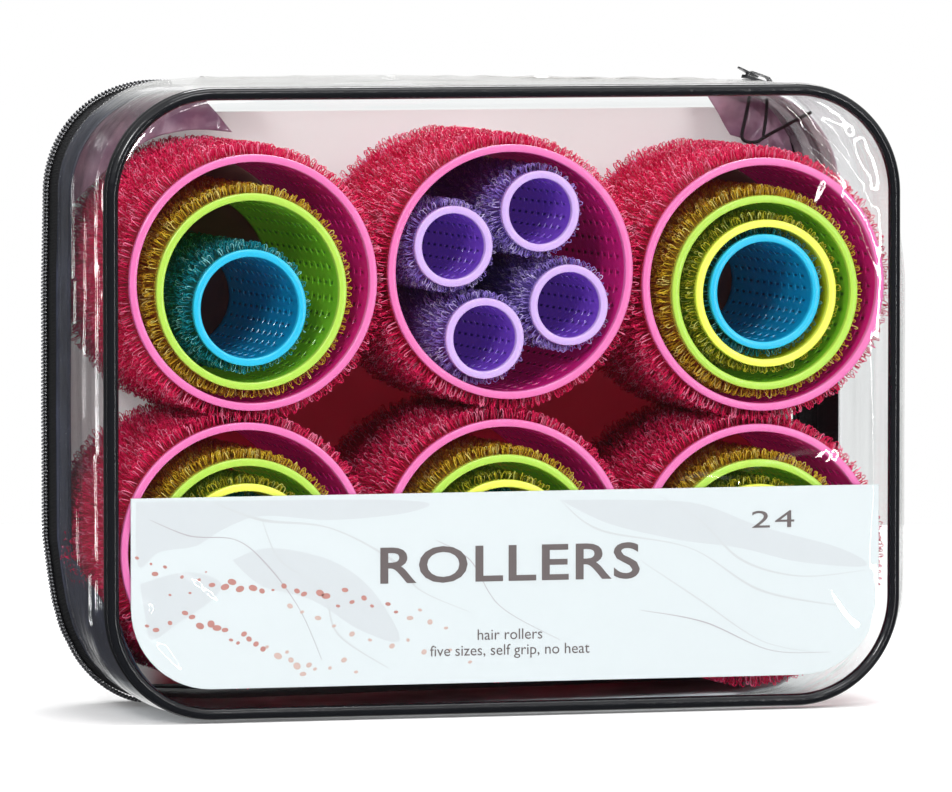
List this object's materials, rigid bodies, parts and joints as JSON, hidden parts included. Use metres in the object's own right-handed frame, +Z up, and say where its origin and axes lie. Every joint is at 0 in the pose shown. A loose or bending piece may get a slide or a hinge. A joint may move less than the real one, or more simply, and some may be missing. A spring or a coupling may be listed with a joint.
{
  "type": "hair roller set in zipped case",
  "caption": "Self-grip hair rollers of five diameters nested in stacks inside a clear, piped, zipped carrying case.",
  "frame": {"origin": "centre of the base of the case, on the surface it stands on", "axes": "+Z up, +Y towards the zipped back lid, +X to the right seen from the front; every roller lies along Y"},
  "size_m": [0.1938, 0.0694, 0.1477],
  "materials": {
    "clear_pvc": "clear glossy soft sheet",
    "black_piping": "soft glossy extruded cord",
    "zipper_tape": "woven black tape with moulded coil",
    "slider_black": "black enamel",
    "printed_card": "smooth coated card",
    "plain_card": "uncoated white card",
    "thread": "black waxed thread",
    "pink_plastic": "translucent moulded plastic",
    "pink_hooks": "nylon hook tape",
    "green_plastic": "translucent moulded plastic",
    "green_hooks": "nylon hook tape",
    "yellow_plastic": "translucent moulded plastic",
    "yellow_hooks": "nylon hook tape",
    "blue_plastic": "translucent moulded plastic",
    "blue_hooks": "nylon hook tape",
    "purple_plastic": "translucent moulded plastic",
    "purple_hooks": "nylon hook tape"
  },
  "bodies": {
    "case": {"side_wall": "clear_pvc", "front_panel": "clear_pvc", "front_piping": "black_piping", "front_card": "printed_card", "zipper_front": "zipper_tape", "tie_thread": "thread"},
    "back_lid": {"back_panel": "clear_pvc", "back_piping": "black_piping", "back_card": "plain_card", "zipper_back": "zipper_tape"},
    "slider": {"zipper_slider": "slider_black"},
    "pull": {"zipper_pull": "slider_black"},
    "roller_tl_pink": {"tl_pink_core": "pink_plastic", "tl_pink_hooks": "pink_hooks"},
    "roller_tl_green": {"tl_green_core": "green_plastic", "tl_green_hooks": "green_hooks"},
    "roller_tl_blue": {"tl_blue_core": "blue_plastic", "tl_blue_hooks": "blue_hooks"},
    "roller_tm_pink": {"tm_pink_core": "pink_plastic", "tm_pink_hooks": "pink_hooks"},
    "roller_tm_purple_1": {"tm_purple_1_core": "purple_plastic", "tm_purple_1_hooks": "purple_hooks"},
    "roller_tm_purple_2": {"tm_purple_2_core": "purple_plastic", "tm_purple_2_hooks": "purple_hooks"},
    "roller_tm_purple_3": {"tm_purple_3_core": "purple_plastic", "tm_purple_3_hooks": "purple_hooks"},
    "roller_tm_purple_4": {"tm_purple_4_core": "purple_plastic", "tm_purple_4_hooks": "purple_hooks"},
    "roller_tr_pink": {"tr_pink_core": "pink_plastic", "tr_pink_hooks": "pink_hooks"},
    "roller_tr_green": {"tr_green_core": "green_plastic", "tr_green_hooks": "green_hooks"},
    "roller_tr_yellow": {"tr_yellow_core": "yellow_plastic", "tr_yellow_hooks": "yellow_hooks"},
    "roller_tr_blue": {"tr_blue_core": "blue_plastic", "tr_blue_hooks": "blue_hooks"},
    "roller_bl_pink": {"bl_pink_core": "pink_plastic", "bl_pink_hooks": "pink_hooks"},
    "roller_bl_green": {"bl_green_core": "green_plastic", "bl_green_hooks": "green_hooks"},
    "roller_bl_yellow": {"bl_yellow_core": "yellow_plastic", "bl_yellow_hooks": "yellow_hooks"},
    "roller_bl_blue": {"bl_blue_core": "blue_plastic", "bl_blue_hooks": "blue_hooks"},
    "roller_bm_pink": {"bm_pink_core": "pink_plastic", "bm_pink_hooks": "pink_hooks"},
    "roller_bm_green": {"bm_green_core": "green_plastic", "bm_green_hooks": "green_hooks"},
    "roller_bm_yellow": {"bm_yellow_core": "yellow_plastic", "bm_yellow_hooks": "yellow_hooks"},
    "roller_bm_blue": {"bm_blue_core": "blue_plastic", "bm_blue_hooks": "blue_hooks"},
    "roller_br_pink": {"br_pink_core": "pink_plastic", "br_pink_hooks": "pink_hooks"},
    "roller_br_green": {"br_green_core": "green_plastic", "br_green_hooks": "green_hooks"},
    "roller_br_yellow": {"br_yellow_core": "yellow_plastic", "br_yellow_hooks": "yellow_hooks"},
    "roller_br_blue": {"br_blue_core": "blue_plastic", "br_blue_hooks": "blue_hooks"}
  },
  "joints": [
    {"name": "case_lid_hinge", "type": "hinge", "parent": "case", "child": "back_lid", "pos_m": [0, 0.03263, 0.1437], "axis": [1, 0, 0], "range_deg": [0, 115]},
    {"name": "case_slider_travel", "type": "hinge", "parent": "case", "child": "slider", "pos_m": [0.07, 0.02252, 0.11985], "axis": [0, 1, 0], "range_deg": [0, 62]},
    {"name": "pull_tab_hinge", "type": "hinge", "parent": "slider", "child": "pull", "pos_m": [0.07774, 0.02252, 0.14539], "axis": [0, 1, 0], "range_deg": [-8, 75]},
    {"name": "roller_tl_pink_spin", "type": "hinge", "parent": "case", "child": "roller_tl_pink", "pos_m": [-0.0606, 0, 0.1007], "axis": [0, 1, 0], "continuous": true},
    {"name": "roller_tl_green_spin", "type": "hinge", "parent": "case", "child": "roller_tl_green", "pos_m": [-0.0611, 0, 0.0986], "axis": [0, 1, 0], "continuous": true},
    {"name": "roller_tl_blue_spin", "type": "hinge", "parent": "case", "child": "roller_tl_blue", "pos_m": [-0.0615, 0, 0.0949], "axis": [0, 1, 0], "continuous": true},
    {"name": "roller_tm_pink_spin", "type": "hinge", "parent": "case", "child": "roller_tm_pink", "pos_m": [0.0009, 0, 0.1024], "axis": [0, 1, 0], "continuous": true},
    {"name": "roller_tm_purple_1_spin", "type": "hinge", "parent": "case", "child": "roller_tm_purple_1", "pos_m": [-0.0129, 0, 0.1084], "axis": [0, 1, 0], "continuous": true},
    {"name": "roller_tm_purple_2_spin", "type": "hinge", "parent": "case", "child": "roller_tm_purple_2", "pos_m": [0.008, 0, 0.1163], "axis": [0, 1, 0], "continuous": true},
    {"name": "roller_tm_purple_3_spin", "type": "hinge", "parent": "case", "child": "roller_tm_purple_3", "pos_m": [-0.0054, 0, 0.0871], "axis": [0, 1, 0], "continuous": true},
    {"name": "roller_tm_purple_4_spin", "type": "hinge", "parent": "case", "child": "roller_tm_purple_4", "pos_m": [0.0149, 0, 0.0945], "axis": [0, 1, 0], "continuous": true},
    {"name": "roller_tr_pink_spin", "type": "hinge", "parent": "case", "child": "roller_tr_pink", "pos_m": [0.0621, 0, 0.0987], "axis": [0, 1, 0], "continuous": true},
    {"name": "roller_tr_green_spin", "type": "hinge", "parent": "case", "child": "roller_tr_green", "pos_m": [0.0624, 0, 0.0968], "axis": [0, 1, 0], "continuous": true},
    {"name": "roller_tr_yellow_spin", "type": "hinge", "parent": "case", "child": "roller_tr_yellow", "pos_m": [0.0627, 0, 0.0966], "axis": [0, 1, 0], "continuous": true},
    {"name": "roller_tr_blue_spin", "type": "hinge", "parent": "case", "child": "roller_tr_blue", "pos_m": [0.0624, 0, 0.0969], "axis": [0, 1, 0], "continuous": true},
    {"name": "roller_bl_pink_spin", "type": "hinge", "parent": "case", "child": "roller_bl_pink", "pos_m": [-0.0627, 0, 0.0392], "axis": [0, 1, 0], "continuous": true},
    {"name": "roller_bl_green_spin", "type": "hinge", "parent": "case", "child": "roller_bl_green", "pos_m": [-0.0624, 0, 0.0378], "axis": [0, 1, 0], "continuous": true},
    {"name": "roller_bl_yellow_spin", "type": "hinge", "parent": "case", "child": "roller_bl_yellow", "pos_m": [-0.0623, 0, 0.0375], "axis": [0, 1, 0], "continuous": true},
    {"name": "roller_bl_blue_spin", "type": "hinge", "parent": "case", "child": "roller_bl_blue", "pos_m": [-0.0623, 0, 0.0372], "axis": [0, 1, 0], "continuous": true},
    {"name": "roller_bm_pink_spin", "type": "hinge", "parent": "case", "child": "roller_bm_pink", "pos_m": [-0.0007, 0, 0.039], "axis": [0, 1, 0], "continuous": true},
    {"name": "roller_bm_green_spin", "type": "hinge", "parent": "case", "child": "roller_bm_green", "pos_m": [-0.0004, 0, 0.0376], "axis": [0, 1, 0], "continuous": true},
    {"name": "roller_bm_yellow_spin", "type": "hinge", "parent": "case", "child": "roller_bm_yellow", "pos_m": [-0.0003, 0, 0.0373], "axis": [0, 1, 0], "continuous": true},
    {"name": "roller_bm_blue_spin", "type": "hinge", "parent": "case", "child": "roller_bm_blue", "pos_m": [-0.0003, 0, 0.037], "axis": [0, 1, 0], "continuous": true},
    {"name": "roller_br_pink_spin", "type": "hinge", "parent": "case", "child": "roller_br_pink", "pos_m": [0.0606, 0, 0.0368], "axis": [0, 1, 0], "continuous": true},
    {"name": "roller_br_green_spin", "type": "hinge", "parent": "case", "child": "roller_br_green", "pos_m": [0.0609, 0, 0.0354], "axis": [0, 1, 0], "continuous": true},
    {"name": "roller_br_yellow_spin", "type": "hinge", "parent": "case", "child": "roller_br_yellow", "pos_m": [0.061, 0, 0.0351], "axis": [0, 1, 0], "continuous": true},
    {"name": "roller_br_blue_spin", "type": "hinge", "parent": "case", "child": "roller_br_blue", "pos_m": [0.061, 0, 0.0348], "axis": [0, 1, 0], "continuous": true}
  ]
}
